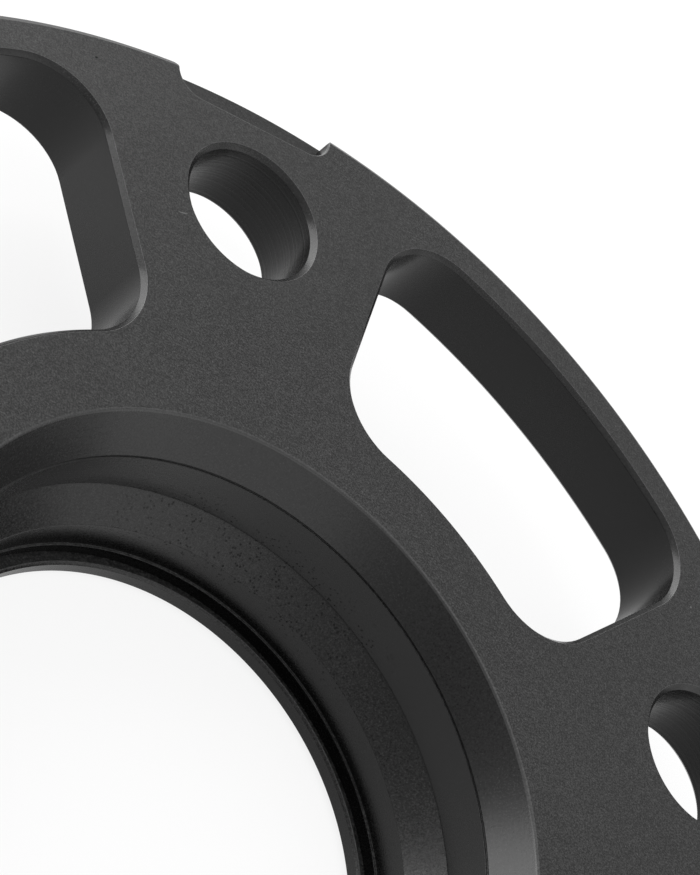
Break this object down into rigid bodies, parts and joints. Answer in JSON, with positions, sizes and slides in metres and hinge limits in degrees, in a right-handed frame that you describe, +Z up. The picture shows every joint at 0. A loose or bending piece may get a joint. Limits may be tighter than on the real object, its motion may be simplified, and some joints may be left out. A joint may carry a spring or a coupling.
{
  "type": "wheel spacer",
  "caption": "Black anodised aluminium wheel spacer: slotted bolt-through plate with a stepped hub-centring bore and a wheel-centring lip.",
  "frame": {"origin": "centre of the lip's end face, the face the spacer rests on", "axes": "+Z up the bore's axis, from the lip's end to the hub face; +Y from the axis towards one of the bolt holes"},
  "size_m": [0.14, 0.14, 0.0175],
  "materials": {
    "black_anodised": "bead-blasted and black anodised, satin"
  },
  "bodies": {
    "root": {"spacer_body": "black_anodised"}
  },
  "joints": []
}
